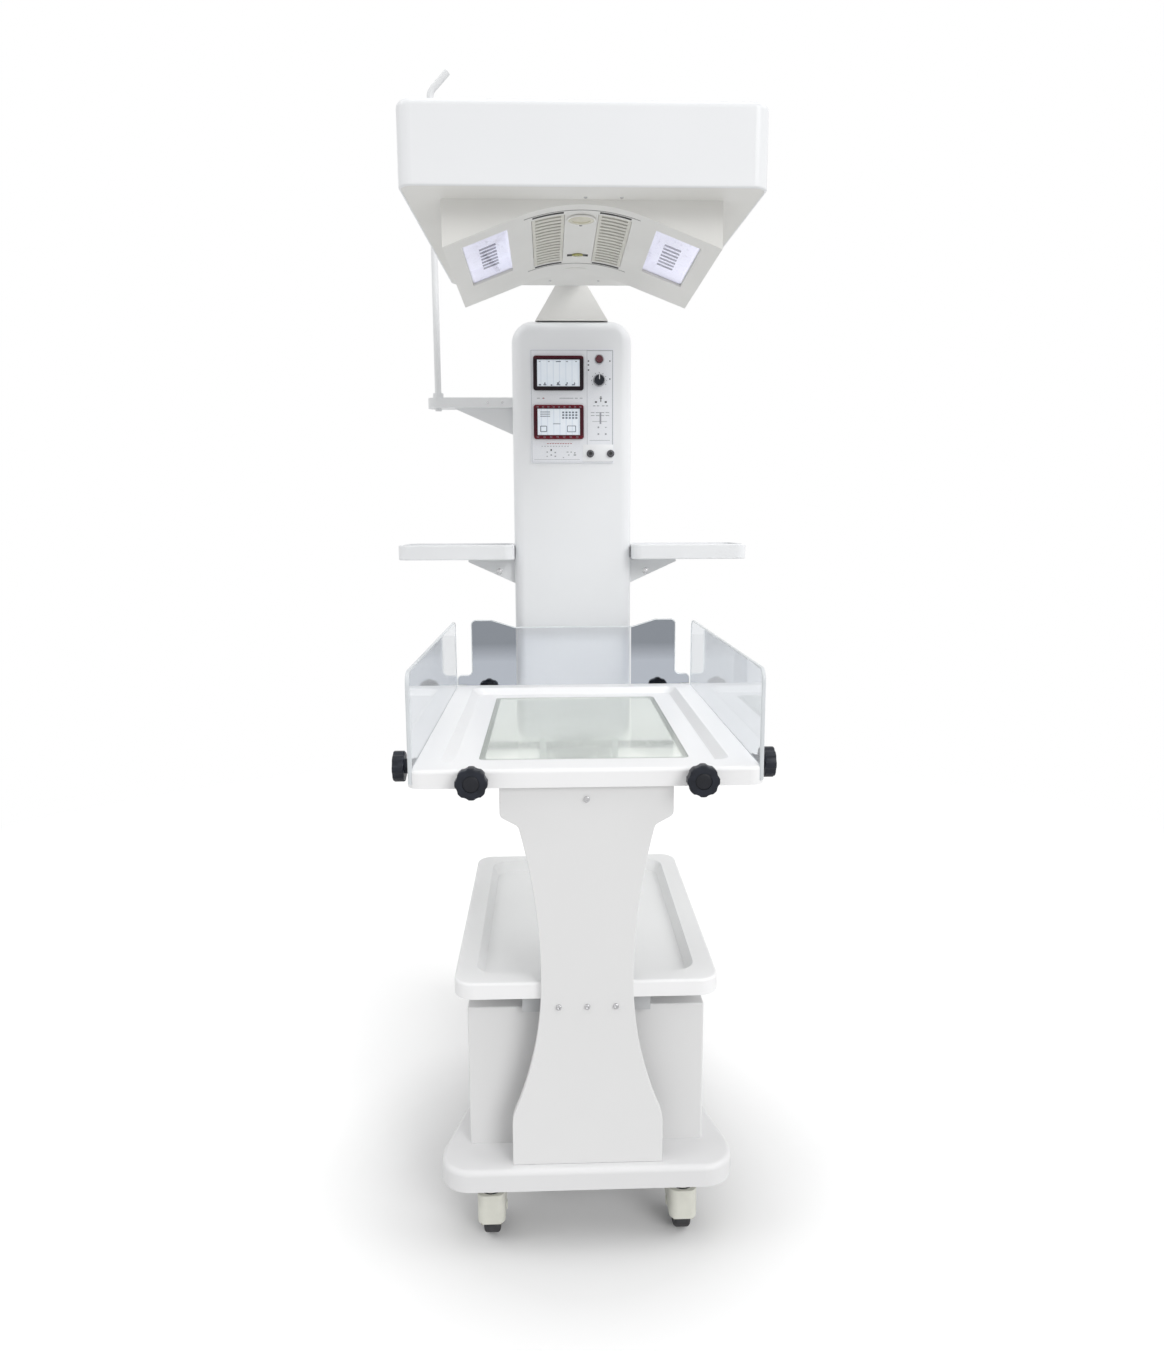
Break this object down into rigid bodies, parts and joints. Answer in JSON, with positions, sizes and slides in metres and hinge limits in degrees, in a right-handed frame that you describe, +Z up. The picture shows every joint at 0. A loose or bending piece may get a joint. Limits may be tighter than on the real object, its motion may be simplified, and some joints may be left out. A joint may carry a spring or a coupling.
{
  "type": "infant radiant warmer",
  "caption": "Open infant care bed with clear drop-in walls, an overhead radiant heater hood on a rear tower, control panel, side shelves, lower tray and a castered base.",
  "frame": {"origin": "on the floor, at the middle of the footprint's bounding box", "axes": "+X to the right seen from the front, +Y from the bed's front towards the tower, +Z up"},
  "size_m": [0.86, 1.07, 2.3675],
  "materials": {
    "white_moulding": "satin",
    "white_steel": "satin powder coat",
    "grey_steel": "satin powder coat",
    "bright_steel": "polished",
    "caster_ivory": "satin",
    "tyre_black": "matte",
    "knob_black": "matte",
    "clear_acrylic": "clear",
    "window_acrylic": "translucent",
    "panel_print": "satin",
    "bezel_red": "gloss",
    "button_red": "gloss",
    "board_green": "satin",
    "core_iron": "dull",
    "grille_cream": "satin",
    "reflector_bright": "polished",
    "rod_dark": "dull",
    "window_glass": "frosted",
    "lamp_glass": "gloss"
  },
  "bodies": {
    "root": {"base_cover": "white_moulding", "base_frame": "grey_steel", "pedestal_panel": "white_steel", "pedestal_post": "grey_steel", "panel_screws": "bright_steel", "equipment_box": "white_steel", "box_rear_cover": "white_steel", "transformer": "core_iron", "tray_bearer": "grey_steel", "lower_tray": "white_moulding", "mast": "grey_steel", "bed_rails": "grey_steel", "tower_shell": "white_moulding", "tower_back_cover": "white_moulding", "control_plate": "panel_print", "upper_display": "bezel_red", "lower_display": "bezel_red", "probe_sockets": "bright_steel", "control_board": "board_green", "mains_inlet": "knob_black", "shelf_left": "white_moulding", "shelf_right": "white_moulding", "shelf_brackets": "white_steel", "drip_arm": "white_steel", "neck_bracket": "white_steel"},
    "hood": {"hood_arm": "white_steel", "hood_shell": "white_moulding", "hood_pan": "white_moulding", "heater_arch": "white_steel", "heater_grilles": "grille_cream", "heater_rods": "rod_dark", "reflectors": "reflector_bright", "light_windows": "window_glass", "exam_lamp": "lamp_glass"},
    "bed": {"bed_frame": "white_moulding", "bed_window": "window_acrylic", "tilt_shaft": "bright_steel", "knob_collars": "knob_black"},
    "left_wall": {"wall_left": "clear_acrylic"},
    "right_wall": {"wall_right": "clear_acrylic"},
    "back_wall": {"wall_back": "clear_acrylic"},
    "drip": {"drip_pole": "white_steel"},
    "button": {"red_button": "button_red"},
    "selector": {"selector_knob": "knob_black"},
    "rocker": {"mains_rocker": "knob_black"},
    "knob_front_left_body": {"knob_front_left": "knob_black"},
    "knob_front_right_body": {"knob_front_right": "knob_black"},
    "knob_back_left_body": {"knob_back_left": "knob_black"},
    "knob_back_right_body": {"knob_back_right": "knob_black"},
    "knob_side_left_body": {"knob_side_left": "knob_black"},
    "knob_side_right_body": {"knob_side_right": "knob_black"},
    "fork_front_left": {"caster_fork_front_left": "caster_ivory"},
    "wheel_front_left": {"caster_wheel_front_left": "tyre_black"},
    "fork_front_right": {"caster_fork_front_right": "caster_ivory"},
    "wheel_front_right": {"caster_wheel_front_right": "tyre_black"},
    "fork_back_left": {"caster_fork_back_left": "caster_ivory"},
    "wheel_back_left": {"caster_wheel_back_left": "tyre_black"},
    "fork_back_right": {"caster_fork_back_right": "caster_ivory"},
    "wheel_back_right": {"caster_wheel_back_right": "tyre_black"}
  },
  "joints": [
    {"name": "hood_swivel", "type": "hinge", "parent": "root", "child": "hood", "pos_m": [0, 0.424, 1.88], "axis": [0, 0, 1], "range_deg": [-40, 90]},
    {"name": "bed_tilt", "type": "hinge", "parent": "root", "child": "bed", "pos_m": [0, -0.086, 0.845], "axis": [-1, 0, 0], "range_deg": [0, 8]},
    {"name": "left_wall_lift", "type": "slide", "parent": "bed", "child": "left_wall", "axis": [0, 0, 1], "range_m": [0, 0.045]},
    {"name": "right_wall_lift", "type": "slide", "parent": "bed", "child": "right_wall", "axis": [0, 0, 1], "range_m": [0, 0.045]},
    {"name": "back_wall_lift", "type": "slide", "parent": "bed", "child": "back_wall", "axis": [0, 0, 1], "range_m": [0, 0.045]},
    {"name": "drip_pole_turn", "type": "hinge", "parent": "root", "child": "drip", "pos_m": [-0.332, 0.424, 1.6], "axis": [0, 0, 1], "continuous": true},
    {"name": "red_button_press", "type": "slide", "parent": "root", "child": "button", "axis": [0, 1, 0], "range_m": [0, 0.003], "stiffness_N_per_m": 300},
    {"name": "selector_turn", "type": "hinge", "parent": "root", "child": "selector", "pos_m": [0.066, 0.356, 1.649], "axis": [0, -1, 0], "continuous": true},
    {"name": "mains_rocker_tip", "type": "hinge", "parent": "root", "child": "rocker", "pos_m": [0, 0.489, 0.831], "axis": [1, 0, 0], "range_deg": [-6, 6]},
    {"name": "knob_front_left_turn", "type": "hinge", "parent": "bed", "child": "knob_front_left_body", "pos_m": [-0.19, -0.501, 0.89], "axis": [0, -1, 0], "continuous": true},
    {"name": "knob_front_right_turn", "type": "hinge", "parent": "bed", "child": "knob_front_right_body", "pos_m": [0.19, -0.501, 0.89], "axis": [0, -1, 0], "continuous": true},
    {"name": "knob_back_left_turn", "type": "hinge", "parent": "bed", "child": "knob_back_left_body", "pos_m": [-0.215, 0.329, 0.89], "axis": [0, 1, 0], "continuous": true},
    {"name": "knob_back_right_turn", "type": "hinge", "parent": "bed", "child": "knob_back_right_body", "pos_m": [0.215, 0.329, 0.89], "axis": [0, 1, 0], "continuous": true},
    {"name": "knob_side_left_turn", "type": "hinge", "parent": "bed", "child": "knob_side_left_body", "pos_m": [-0.3, -0.409, 0.89], "axis": [-1, 0, 0], "continuous": true},
    {"name": "knob_side_right_turn", "type": "hinge", "parent": "bed", "child": "knob_side_right_body", "pos_m": [0.3, -0.409, 0.89], "axis": [1, 0, 0], "continuous": true},
    {"name": "caster_swivel_front_left", "type": "hinge", "parent": "root", "child": "fork_front_left", "pos_m": [-0.176, -0.451, 0.137], "axis": [0, 0, 1], "continuous": true},
    {"name": "caster_roll_front_left", "type": "hinge", "parent": "fork_front_left", "child": "wheel_front_left", "pos_m": [-0.176, -0.426, 0.045], "axis": [1, 0, 0], "continuous": true},
    {"name": "caster_swivel_front_right", "type": "hinge", "parent": "root", "child": "fork_front_right", "pos_m": [0.176, -0.451, 0.137], "axis": [0, 0, 1], "continuous": true},
    {"name": "caster_roll_front_right", "type": "hinge", "parent": "fork_front_right", "child": "wheel_front_right", "pos_m": [0.176, -0.426, 0.045], "axis": [1, 0, 0], "continuous": true},
    {"name": "caster_swivel_back_left", "type": "hinge", "parent": "root", "child": "fork_back_left", "pos_m": [-0.176, 0.455, 0.137], "axis": [0, 0, 1], "continuous": true},
    {"name": "caster_roll_back_left", "type": "hinge", "parent": "fork_back_left", "child": "wheel_back_left", "pos_m": [-0.176, 0.48, 0.045], "axis": [1, 0, 0], "continuous": true},
    {"name": "caster_swivel_back_right", "type": "hinge", "parent": "root", "child": "fork_back_right", "pos_m": [0.176, 0.455, 0.137], "axis": [0, 0, 1], "continuous": true},
    {"name": "caster_roll_back_right", "type": "hinge", "parent": "fork_back_right", "child": "wheel_back_right", "pos_m": [0.176, 0.48, 0.045], "axis": [1, 0, 0], "continuous": true}
  ]
}
